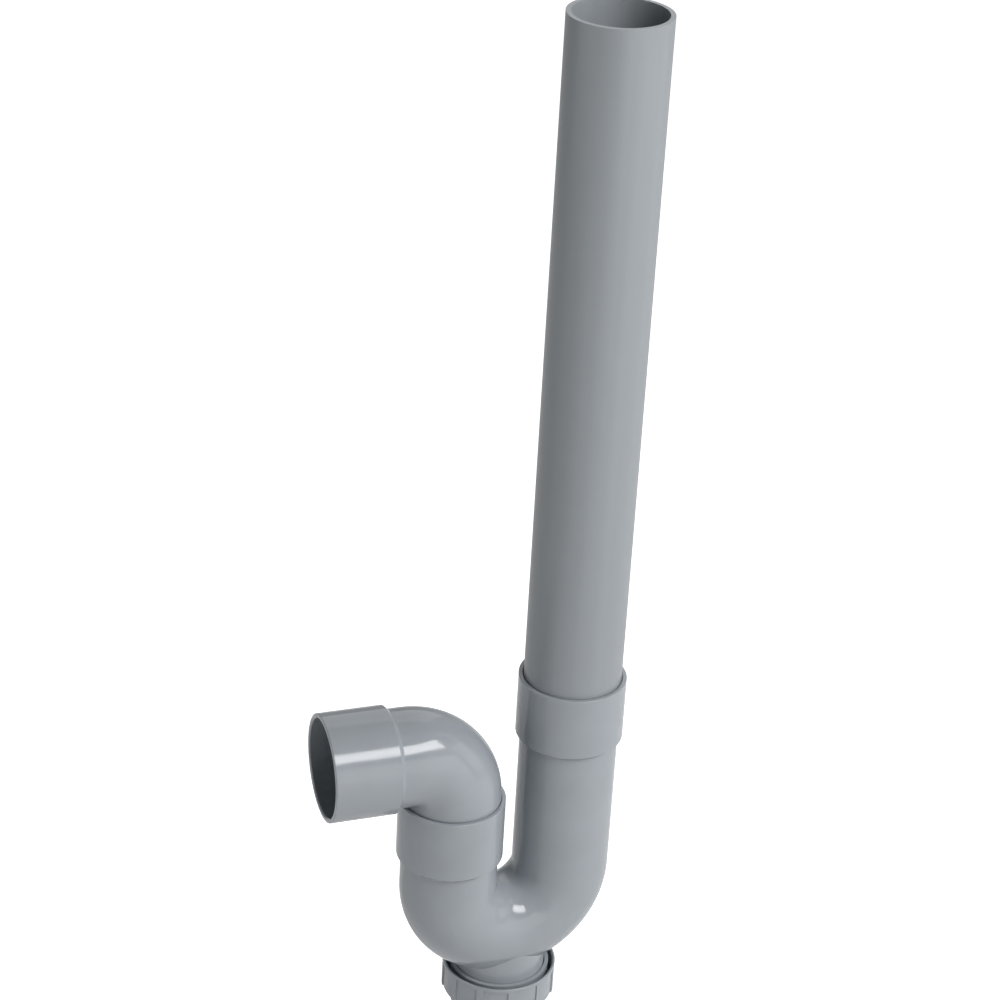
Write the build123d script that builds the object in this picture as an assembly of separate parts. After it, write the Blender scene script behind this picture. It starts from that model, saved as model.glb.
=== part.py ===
"""Washing machine trap for 40 mm waste pipe: a U-bend with a standpipe, an outlet elbow and a clean-out cap.

Millimetres, +Z up. The origin is the centre of the outlet socket's mouth, where the waste pipe
leaves along -X. The short leg of the U-bend stands under the elbow, on the X axis. The long leg
stands further out along X, turned about the short leg by the angle that the elbow was swivelled.
"""
import os

from build123d import *

# Pipe and its sockets
pipe_diameter = 40.0
pipe_wall = 1.9
standpipe_length = 304.0
socket_clearance = 0.1
socket_depth = 26.0
socket_wall = 2.0
socket_shoulder = 1.0
socket_taper = 1.9
lead_in = 0.5
rim_round = 0.4

# Moulded tube of the bend and the elbow
tube_wall = 2.1

# Outlet elbow
throat_radius = 0.3
bend_above_rim = 1.3
shoulder_above_rim = 0.4
spigot_end_gap = 0.2
outlet_straight = 5.8
swivel_as_shown = 6.3

# U-bend
gap_between_sockets = 7.4
short_leg_plain = 14.2
long_leg_rise = 47.2

# Clean-out neck, with a right-hand thread
neck_inset = 1.05
neck_wall = 2.95
plain_neck = 1.0
thread_pitch = 4.0
thread_height = 1.4
thread_root_width = 2.2
thread_crest_width = 0.8
thread_turns = 1.25
thread_end_margin = 0.5
thread_gap = 0.35

# Double-walled clean-out cap: a threaded sleeve inside a ribbed skirt, and its seal
mouth_above_underside = 1.0
cap_height = 14.0
cap_floor = 2.5
sleeve_wall = 1.6
sleeve_below_mouth = 0.2
pocket_width = 1.7
skirt_wall = 0.6
cap_rim_height = 1.6
cap_rim_chamfer = 0.5
cap_bottom_chamfer = 0.3
rib_count = 11
rib_width = 3.0
rib_height = 0.6
rib_turn = 29.9
seal_thickness = 2.0
seal_width = 3.2
seal_gap = 0.4

# How far a ridge or a rib reaches into the wall that carries it
root_bite = 0.3

# Radii
pipe_radius = pipe_diameter / 2
bore_radius = pipe_radius - pipe_wall
tube_radius = bore_radius + tube_wall
socket_bore = pipe_radius + socket_clearance
socket_radius = socket_bore + socket_wall
elbow_radius = tube_radius + throat_radius
leg_spacing = 2 * socket_radius + gap_between_sockets
bend_radius = leg_spacing / 2
neck_radius = tube_radius - neck_inset
neck_bore = neck_radius - neck_wall
neck_core = neck_radius - thread_height
cap_bore = neck_radius + thread_gap
sleeve_radius = cap_bore + sleeve_wall
skirt_bore = sleeve_radius + pocket_width
skirt_radius = skirt_bore + skirt_wall
cap_radius = skirt_radius + rib_height

# Lengths and heights
socket_length = socket_depth + socket_shoulder + socket_taper
elbow_reach = elbow_radius + outlet_straight + socket_length
short_rim = -elbow_radius - bend_above_rim
long_rim = short_rim + long_leg_rise
bend_centre = short_rim - socket_length - short_leg_plain
tube_bottom = bend_centre - bend_radius
underside = tube_bottom - tube_radius
cap_mouth = underside + mouth_above_underside
cap_bottom = cap_mouth - cap_height
seal_bottom = cap_bottom + cap_floor
neck_end = seal_bottom + seal_thickness


def turned(outline, rounds=None):
    """Solid turned about Z from an outline of (radius, height) points; rounds maps a point to its radius."""
    face = make_face(Polyline(*outline, close=True))
    for (radius, height), size in (rounds or {}).items():
        corner = face.vertices().sort_by_distance((radius, height, 0))[0]
        face = fillet(corner, size)
    return revolve(Plane.XZ * face, Axis.Z)


def socket_body():
    """Outside of a socket, as a solid: mouth at z = 0, tapering to the tube below it."""
    taper_top = -socket_depth - socket_shoulder
    rim = (socket_radius, 0)
    outline = [(0, 0), rim, (socket_radius, taper_top), (tube_radius, -socket_length), (0, -socket_length)]
    return turned(outline, {rim: rim_round})


def socket_hollow():
    """Inside of a socket: the bore that the pipe stands in, with a lead-in at its mouth."""
    outline = [
        (0, 0),
        (socket_bore + lead_in, 0),
        (socket_bore, -lead_in),
        (socket_bore, -socket_depth),
        (0, -socket_depth),
    ]
    return turned(outline)


def u_tube(radius):
    """Round bar along the U-bend, from rim to rim, with the short leg on Z."""
    left = Line((0, 0, short_rim), (0, 0, bend_centre))
    bottom = ThreePointArc(left @ 1, (bend_radius, 0, tube_bottom), (leg_spacing, 0, bend_centre))
    right = Line(bottom @ 1, (leg_spacing, 0, long_rim))
    section = Plane(origin=left @ 0, z_dir=(0, 0, -1)) * Circle(radius)
    return sweep(section, path=left + bottom + right)


def thread_ridge(foot_radius, crest_radius):
    """One helical ridge about Z, starting over the neck's end; foot_radius lies inside its wall."""
    low = neck_end + thread_end_margin + thread_root_width / 2
    slope = (thread_root_width - thread_crest_width) / 2 / thread_height
    outward = 1 if crest_radius > foot_radius else -1
    half_crest = thread_crest_width / 2
    half_foot = half_crest + slope * abs(crest_radius - foot_radius)
    spine_radius = crest_radius - outward * thread_height / 2
    spine = Pos(0, 0, low) * Helix(pitch=thread_pitch, height=thread_pitch * thread_turns, radius=spine_radius)
    section = make_face(
        Polyline(
            (foot_radius, low - half_foot),
            (crest_radius, low - half_crest),
            (crest_radius, low + half_crest),
            (foot_radius, low + half_foot),
            close=True,
        )
    )
    return sweep(Plane.XZ * section, path=spine, is_frenet=True)


def neck_body():
    """Outside of the clean-out neck about Z, as a solid, with its thread."""
    thread_top = cap_mouth - plain_neck
    outline = [
        (0, tube_bottom),
        (neck_radius, tube_bottom),
        (neck_radius, thread_top),
        (neck_core, thread_top),
        (neck_core, neck_end),
        (0, neck_end),
    ]
    return turned(outline) + thread_ridge(neck_core - root_bite, neck_radius)


def neck_hollow():
    """Inside of the clean-out neck, open into the bend."""
    height = tube_bottom - neck_end
    return Pos(0, 0, neck_end + height / 2) * Cylinder(neck_bore, height)


def make_trap_bend():
    """U-bend, both leg sockets and the threaded neck: one moulding."""
    at_short = Pos(0, 0, short_rim)
    at_long = Pos(leg_spacing, 0, long_rim)
    at_neck = Pos(bend_radius, 0, 0)
    outside = u_tube(tube_radius) + at_short * socket_body() + at_long * socket_body() + at_neck * neck_body()
    inside = u_tube(bore_radius) + at_short * socket_hollow() + at_long * socket_hollow() + at_neck * neck_hollow()
    return outside - inside


def make_standpipe():
    """Plain length of pipe, cut square, standing on the shoulder of the long leg's socket."""
    foot = long_rim - socket_depth
    pipe = Cylinder(pipe_radius, standpipe_length) - Cylinder(bore_radius, standpipe_length)
    return Pos(leg_spacing, 0, foot + standpipe_length / 2) * pipe


def elbow_bar(radius, foot):
    """Round bar along the elbow, from height foot on Z round to the mouth on -X."""
    rise = Line((0, 0, foot), (0, 0, -elbow_radius))
    turn = TangentArc(rise @ 1, (-elbow_radius, 0, 0), tangent=rise % 1)
    run = Line(turn @ 1, (-elbow_reach, 0, 0))
    section = Plane(origin=rise @ 0, z_dir=(0, 0, 1)) * Circle(radius)
    return sweep(section, path=rise + turn + run)


def make_outlet_elbow():
    """Elbow with a spigot that turns in the short leg's socket and a socket for the waste pipe."""
    spigot_end = short_rim - socket_depth + spigot_end_gap
    shoulder = short_rim + shoulder_above_rim
    spigot_height = -elbow_radius - spigot_end
    spigot = Pos(0, 0, spigot_end + spigot_height / 2) * Cylinder(pipe_radius, spigot_height)
    at_mouth = Pos(-elbow_reach, 0, 0) * Rot(0, -90, 0)
    outside = elbow_bar(tube_radius, shoulder) + spigot + at_mouth * socket_body()
    return outside - elbow_bar(bore_radius, spigot_end) - at_mouth * socket_hollow()


def grip_ribs():
    """Upright ribs round the cap's skirt, from its bottom edge up into the rim band."""
    high = cap_mouth - cap_rim_height + root_bite
    foot_radius = skirt_radius - root_bite
    outline = [
        (foot_radius, cap_bottom),
        (cap_radius - cap_bottom_chamfer, cap_bottom),
        (cap_radius, cap_bottom + cap_bottom_chamfer),
        (cap_radius, high),
        (foot_radius, high),
    ]
    slot = Box(cap_radius, rib_width, cap_height)
    slots = [
        Pos(0, 0, cap_bottom + cap_height / 2) * place * slot
        for place in PolarLocations(cap_radius, rib_count, start_angle=rib_turn)
    ]
    return turned(outline) & Part() + slots


def make_cleanout_cap():
    """Screw cap about Z: a skirt with a rim band and grip ribs, and a sleeve with an inside thread."""
    band_bottom = cap_mouth - cap_rim_height
    sleeve_top = cap_mouth - sleeve_below_mouth
    rim = (cap_radius, cap_mouth)
    shell = turned(
        [
            (0, cap_bottom),
            (skirt_radius - cap_bottom_chamfer, cap_bottom),
            (skirt_radius, cap_bottom + cap_bottom_chamfer),
            (skirt_radius, band_bottom),
            (cap_radius, band_bottom),
            rim,
            (skirt_bore + cap_rim_chamfer, cap_mouth),
            (skirt_bore, cap_mouth - cap_rim_chamfer),
            (skirt_bore, seal_bottom),
            (sleeve_radius, seal_bottom),
            (sleeve_radius, sleeve_top),
            (cap_bore, sleeve_top),
            (cap_bore, seal_bottom),
            (0, seal_bottom),
        ],
        {rim: rim_round},
    )
    ridge = thread_ridge(cap_bore + root_bite, neck_core + thread_gap)
    return shell + grip_ribs() + Rot(0, 0, 180) * ridge


def make_cap_seal():
    """Flat rubber ring between the neck's end and the cap's floor."""
    outer = cap_bore - seal_gap
    ring = Cylinder(outer, seal_thickness) - Cylinder(outer - seal_width, seal_thickness)
    return Pos(0, 0, seal_bottom + seal_thickness / 2) * ring


def main():
    """Place the pieces and write one file for each."""
    os.makedirs("parts", exist_ok=True)
    at_short_leg = Pos(elbow_reach, 0, 0)
    trap_plane = at_short_leg * Rot(0, 0, swivel_as_shown)
    at_neck = trap_plane * Pos(bend_radius, 0, 0)
    pieces = {
        "trap_bend": trap_plane * make_trap_bend(),
        "standpipe": trap_plane * make_standpipe(),
        "outlet_elbow": at_short_leg * make_outlet_elbow(),
        "cleanout_cap": at_neck * make_cleanout_cap(),
        "cap_seal": at_neck * make_cap_seal(),
    }
    for name, piece in pieces.items():
        export_step(piece, f"parts/{name}.step")


main()
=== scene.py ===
import math

import bpy
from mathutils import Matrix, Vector


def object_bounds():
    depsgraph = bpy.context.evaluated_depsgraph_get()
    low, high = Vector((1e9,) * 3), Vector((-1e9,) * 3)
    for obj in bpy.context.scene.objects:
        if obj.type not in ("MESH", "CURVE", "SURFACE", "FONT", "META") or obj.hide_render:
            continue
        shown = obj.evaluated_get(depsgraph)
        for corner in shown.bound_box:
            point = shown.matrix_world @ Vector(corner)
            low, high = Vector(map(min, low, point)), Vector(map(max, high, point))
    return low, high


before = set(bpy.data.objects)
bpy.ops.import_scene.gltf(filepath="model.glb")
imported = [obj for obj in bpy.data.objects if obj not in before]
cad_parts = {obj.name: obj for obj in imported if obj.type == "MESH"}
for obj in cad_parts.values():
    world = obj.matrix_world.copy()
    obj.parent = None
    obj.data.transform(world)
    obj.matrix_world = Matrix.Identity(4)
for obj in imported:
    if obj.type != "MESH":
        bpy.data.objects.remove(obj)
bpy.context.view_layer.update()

# Everything is in metres: the waste pipe leaves the outlet's mouth at the origin along -X.
bpy.ops.object.select_all(action="DESELECT")

# Camera: a long lens above the trap and a little to its left, tilted down, and rolled so that the
# standpipe leans to the right. Its angles are in degrees, and its frame cuts off the screw cap's foot.
camera_place = Vector((-0.2464, -0.8706, 0.5985))
camera_tilt = 90 - 27.69
camera_turn = -19.9
camera_roll = 3.23
lens_length = 97.51
sensor_width = 36.0
nearest_seen = 0.05
aimed = (math.radians(camera_tilt), 0.0, math.radians(camera_turn))
bpy.ops.object.camera_add(location=camera_place, rotation=aimed)
camera = bpy.context.object
camera.name = "photo_camera"
camera.data.sensor_width = sensor_width
camera.data.lens = lens_length
camera.data.clip_start = nearest_seen
camera.rotation_euler.rotate_axis("Z", math.radians(camera_roll))
bpy.context.scene.camera = camera

# Floor: a plain white studio table, a hand's breadth under the trap, which hangs from its waste pipe.
# It glows for the camera, and in part for reflections, so that it reads white yet keeps a soft shadow.
# The glow grows to full white far off, where no lamp reaches the table.
floor_gap = 0.09
floor_size = 14.0
table_paint = (0.86, 0.86, 0.86, 1.0)
table_roughness = 0.9
pure_white = (1.0, 1.0, 1.0, 1.0)
near_glow = 0.9
far_glow = 1.0
glow_grows_from = 0.6
glow_is_full_at = 3.0
mirrored_share = 0.35    # how much of the white surroundings the plastic's gloss shows


def white_in_view(nodes, links):
    """How white the surroundings are for a ray: fully for the camera, and in part for a reflection."""
    ray = nodes.new("ShaderNodeLightPath")
    straight = nodes.new("ShaderNodeMath")
    straight.operation = "MAXIMUM"
    links.new(ray.outputs["Is Camera Ray"], straight.inputs[0])
    links.new(ray.outputs["Is Transmission Ray"], straight.inputs[1])
    mirrored = nodes.new("ShaderNodeMath")
    mirrored.operation = "MULTIPLY"
    mirrored.inputs[1].default_value = mirrored_share
    links.new(ray.outputs["Is Glossy Ray"], mirrored.inputs[0])
    either = nodes.new("ShaderNodeMath")
    either.operation = "MAXIMUM"
    links.new(straight.outputs["Value"], either.inputs[0])
    links.new(mirrored.outputs["Value"], either.inputs[1])
    return either.outputs["Value"]


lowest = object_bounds()[0][2]
bpy.ops.mesh.primitive_plane_add(size=floor_size, location=(0.0, 0.0, lowest - floor_gap))
floor = bpy.context.object
floor.name = "studio_table"
paint = bpy.data.materials.new("table_white")
paint.use_nodes = True
nodes = paint.node_tree.nodes
links = paint.node_tree.links
shader = nodes["Principled BSDF"]
shader.inputs["Base Color"].default_value = table_paint
shader.inputs["Roughness"].default_value = table_roughness
shader.inputs["Specular IOR Level"].default_value = 0.0
place = nodes.new("ShaderNodeTexCoord")
reach = nodes.new("ShaderNodeVectorMath")
reach.operation = "LENGTH"
links.new(place.outputs["Object"], reach.inputs[0])
growth = nodes.new("ShaderNodeMapRange")
growth.inputs["From Min"].default_value = glow_grows_from
growth.inputs["From Max"].default_value = glow_is_full_at
growth.inputs["To Min"].default_value = near_glow
growth.inputs["To Max"].default_value = far_glow
links.new(reach.outputs["Value"], growth.inputs["Value"])
level = nodes.new("ShaderNodeMath")
level.operation = "MULTIPLY"
links.new(white_in_view(nodes, links), level.inputs[0])
links.new(growth.outputs["Result"], level.inputs[1])
glow = nodes.new("ShaderNodeEmission")
glow.inputs["Color"].default_value = pure_white
links.new(level.outputs["Value"], glow.inputs["Strength"])
both = nodes.new("ShaderNodeAddShader")
links.new(shader.outputs["BSDF"], both.inputs[0])
links.new(glow.outputs["Emission"], both.inputs[1])
links.new(both.outputs["Shader"], nodes["Material Output"].inputs["Surface"])
floor.data.materials.append(paint)

# Surroundings: white for the camera and in part for reflections, and a weak even light from all round
# for the rest, a little blue like daylight in a room.
room_light = 0.04
room_color = (0.93, 0.965, 1.0, 1.0)
backdrop_level = 1.0
world = bpy.data.worlds.new("white_studio")
bpy.context.scene.world = world
world.use_nodes = True
nodes = world.node_tree.nodes
links = world.node_tree.links
around = nodes["Background"]
around.inputs["Color"].default_value = room_color
around.inputs["Strength"].default_value = room_light
backdrop = nodes.new("ShaderNodeBackground")
backdrop.inputs["Color"].default_value = pure_white
backdrop.inputs["Strength"].default_value = backdrop_level
choice = nodes.new("ShaderNodeMixShader")
links.new(white_in_view(nodes, links), choice.inputs[0])
links.new(around.outputs["Background"], choice.inputs[1])
links.new(backdrop.outputs["Background"], choice.inputs[2])
links.new(choice.outputs["Shader"], nodes["World Output"].inputs["Surface"])

# Lamps: five soft boxes round the trap, in metres, degrees and watts. The key box, high at the front
# right, draws the streak along the elbow. Three low boxes light the front and the sides, and the one
# behind lights the back.
aim = Vector((0.07, 0.0, 0.02))


def soft_box(name, turn, height, distance, width, depth, power):
    """A rectangular lamp aimed at the trap; turn goes from the front (-Y) towards +X, both in degrees."""
    around_trap = math.radians(turn)
    above_level = math.radians(height)
    towards = Vector((
        math.sin(around_trap) * math.cos(above_level),
        -math.cos(around_trap) * math.cos(above_level),
        math.sin(above_level),
    ))
    bpy.ops.object.light_add(type="AREA", location=aim + towards * distance)
    lamp = bpy.context.object
    lamp.name = name
    lamp.data.shape = "RECTANGLE"
    lamp.data.size = width
    lamp.data.size_y = depth
    lamp.data.energy = power
    lamp.rotation_euler = towards.to_track_quat("Z", "Y").to_euler()


soft_box("key_box", turn=31.0, height=46.0, distance=1.3, width=0.9, depth=0.4, power=11.5)
soft_box("front_box", turn=25.0, height=8.0, distance=1.6, width=1.8, depth=0.9, power=6.5)
soft_box("right_box", turn=80.0, height=15.0, distance=1.5, width=1.0, depth=1.0, power=3.0)
soft_box("left_box", turn=-90.0, height=5.0, distance=1.5, width=1.4, depth=0.7, power=4.5)
soft_box("back_box", turn=165.0, height=35.0, distance=1.5, width=1.2, depth=1.2, power=3.5)

# U-bend and outlet elbow: two injection mouldings of rigid grey PVC, from polished moulds. Their skin
# is glossy, with slow shallow waves and hardly any grain. The elbow's spigot stands in the short leg's
# socket, and both are glued when the trap is fitted.
moulded_grey = (0.355, 0.385, 0.415, 1.0)
plastic_relief = 0.00004    # from the lowest to the highest spot of the skin
refraction = 1.5            # that of PVC, and near enough that of rubber


def plastic_skin():
    """Node group for a plastic's skin: a fine grain, slow waves and a slightly mottled tone."""
    grain_layers = 3.0
    wave_layers = 1.0
    darkest_wave = 0.3
    palest_wave = 0.7
    group = bpy.data.node_groups.new("plastic_skin", "ShaderNodeTree")
    face = group.interface
    face.new_socket("Vector", in_out="INPUT", socket_type="NodeSocketVector")
    face.new_socket("Plastic Color", in_out="INPUT", socket_type="NodeSocketColor")
    for name in ("Grain Size", "Wave Size", "Grain Share", "Tone Range", "Dullness", "Dullness Range"):
        face.new_socket(name, in_out="INPUT", socket_type="NodeSocketFloat")
    face.new_socket("Color", in_out="OUTPUT", socket_type="NodeSocketColor")
    face.new_socket("Roughness", in_out="OUTPUT", socket_type="NodeSocketFloat")
    face.new_socket("Height", in_out="OUTPUT", socket_type="NodeSocketFloat")
    nodes = group.nodes
    links = group.links
    start = nodes.new("NodeGroupInput")
    end = nodes.new("NodeGroupOutput")

    # Height: the waves, with a share of the grain
    grain = nodes.new("ShaderNodeTexNoise")
    grain.inputs["Detail"].default_value = grain_layers
    links.new(start.outputs["Vector"], grain.inputs["Vector"])
    links.new(start.outputs["Grain Size"], grain.inputs["Scale"])
    wave = nodes.new("ShaderNodeTexNoise")
    wave.inputs["Detail"].default_value = wave_layers
    links.new(start.outputs["Vector"], wave.inputs["Vector"])
    links.new(start.outputs["Wave Size"], wave.inputs["Scale"])
    height = nodes.new("ShaderNodeMix")
    links.new(start.outputs["Grain Share"], height.inputs["Factor"])
    links.new(wave.outputs["Fac"], height.inputs["A"])
    links.new(grain.outputs["Fac"], height.inputs["B"])
    links.new(height.outputs["Result"], end.inputs["Height"])

    # Tone and dullness: both a little up and down with the waves
    mottle = nodes.new("ShaderNodeMapRange")
    mottle.inputs["From Min"].default_value = darkest_wave
    mottle.inputs["From Max"].default_value = palest_wave
    mottle.inputs["To Min"].default_value = -1.0
    mottle.inputs["To Max"].default_value = 1.0
    links.new(wave.outputs["Fac"], mottle.inputs["Value"])
    tone = nodes.new("ShaderNodeMath")
    tone.operation = "MULTIPLY_ADD"
    tone.inputs[2].default_value = 1.0
    links.new(mottle.outputs["Result"], tone.inputs[0])
    links.new(start.outputs["Tone Range"], tone.inputs[1])
    shade = nodes.new("ShaderNodeVectorMath")
    shade.operation = "SCALE"
    links.new(start.outputs["Plastic Color"], shade.inputs[0])
    links.new(tone.outputs["Value"], shade.inputs["Scale"])
    links.new(shade.outputs["Vector"], end.inputs["Color"])
    dull = nodes.new("ShaderNodeMath")
    dull.operation = "MULTIPLY_ADD"
    links.new(mottle.outputs["Result"], dull.inputs[0])
    links.new(start.outputs["Dullness Range"], dull.inputs[1])
    links.new(start.outputs["Dullness"], dull.inputs[2])
    links.new(dull.outputs["Value"], end.inputs["Roughness"])
    return group


skin = plastic_skin()


def plastic(name, color, skin_values, relief_depth=plastic_relief, stretch=(1.0, 1.0, 1.0)):
    """A plastic with its own skin; a stretch under 1 draws the pattern out along that axis."""
    material = bpy.data.materials.new(name)
    material.use_nodes = True
    nodes = material.node_tree.nodes
    links = material.node_tree.links
    shader = nodes["Principled BSDF"]
    shader.inputs["IOR"].default_value = refraction
    place = nodes.new("ShaderNodeTexCoord")
    drawn_out = nodes.new("ShaderNodeMapping")
    drawn_out.inputs["Scale"].default_value = stretch
    links.new(place.outputs["Object"], drawn_out.inputs["Vector"])
    surface = nodes.new("ShaderNodeGroup")
    surface.node_tree = skin
    surface.inputs["Plastic Color"].default_value = color
    for socket, value in skin_values.items():
        surface.inputs[socket].default_value = value
    links.new(drawn_out.outputs["Vector"], surface.inputs["Vector"])
    links.new(surface.outputs["Color"], shader.inputs["Base Color"])
    links.new(surface.outputs["Roughness"], shader.inputs["Roughness"])
    relief = nodes.new("ShaderNodeBump")
    relief.inputs["Strength"].default_value = 1.0
    relief.inputs["Distance"].default_value = relief_depth
    links.new(surface.outputs["Height"], relief.inputs["Height"])
    links.new(relief.outputs["Normal"], shader.inputs["Normal"])
    return material


def dress(node, material):
    """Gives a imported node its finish."""
    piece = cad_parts[node]
    piece.data.materials.clear()
    piece.data.materials.append(material)


moulded_skin = {
    "Grain Size": 1800.0,
    "Wave Size": 70.0,
    "Grain Share": 0.12,
    "Tone Range": 0.02,
    "Dullness": 0.13,
    "Dullness Range": 0.03,
}
moulded_pvc = plastic("moulded_grey_pvc", moulded_grey, moulded_skin)
dress("trap_bend", moulded_pvc)
dress("outlet_elbow", moulded_pvc)

# Standpipe: a plain length of extruded grey PVC pipe, sawn square, which stands in the long leg's
# socket. Its skin is duller than a moulding's, with faint lines along its length from the die.
pipe_grey = (0.315, 0.340, 0.360, 1.0)
along_the_pipe = (1.0, 1.0, 0.02)
pipe_skin = {
    "Grain Size": 1400.0,
    "Wave Size": 160.0,
    "Grain Share": 0.3,
    "Tone Range": 0.02,
    "Dullness": 0.34,
    "Dullness Range": 0.03,
}
drawn_pvc = plastic("drawn_grey_pvc", pipe_grey, pipe_skin, stretch=along_the_pipe)
dress("standpipe", drawn_pvc)

# Screw cap: a separate moulding of the same grey PVC, with a ribbed skirt for the hand and a threaded
# sleeve inside it. It screws onto the neck under the bend, and comes off to clean the trap.
cap_skin = {
    "Grain Size": 2000.0,
    "Wave Size": 140.0,
    "Grain Share": 0.2,
    "Tone Range": 0.02,
    "Dullness": 0.13,
    "Dullness Range": 0.03,
}
cap_pvc = plastic("cap_grey_pvc", moulded_grey, cap_skin)
dress("cleanout_cap", cap_pvc)

# Seal: a flat ring of black rubber, cut from sheet, with a fine matt grain. It lies on the cap's
# floor, where the neck's end presses on it when the cap is tight.
seal_black = (0.02, 0.02, 0.021, 1.0)
rubber_relief = 0.00003
rubber_skin = {
    "Grain Size": 2500.0,
    "Wave Size": 200.0,
    "Grain Share": 0.7,
    "Tone Range": 0.1,
    "Dullness": 0.7,
    "Dullness Range": 0.05,
}
seal_rubber = plastic("seal_black_rubber", seal_black, rubber_skin, relief_depth=rubber_relief)
dress("cap_seal", seal_rubber)

# Picture: the view adds no contrast of its own.
bpy.context.scene.view_settings.view_transform = "Standard"
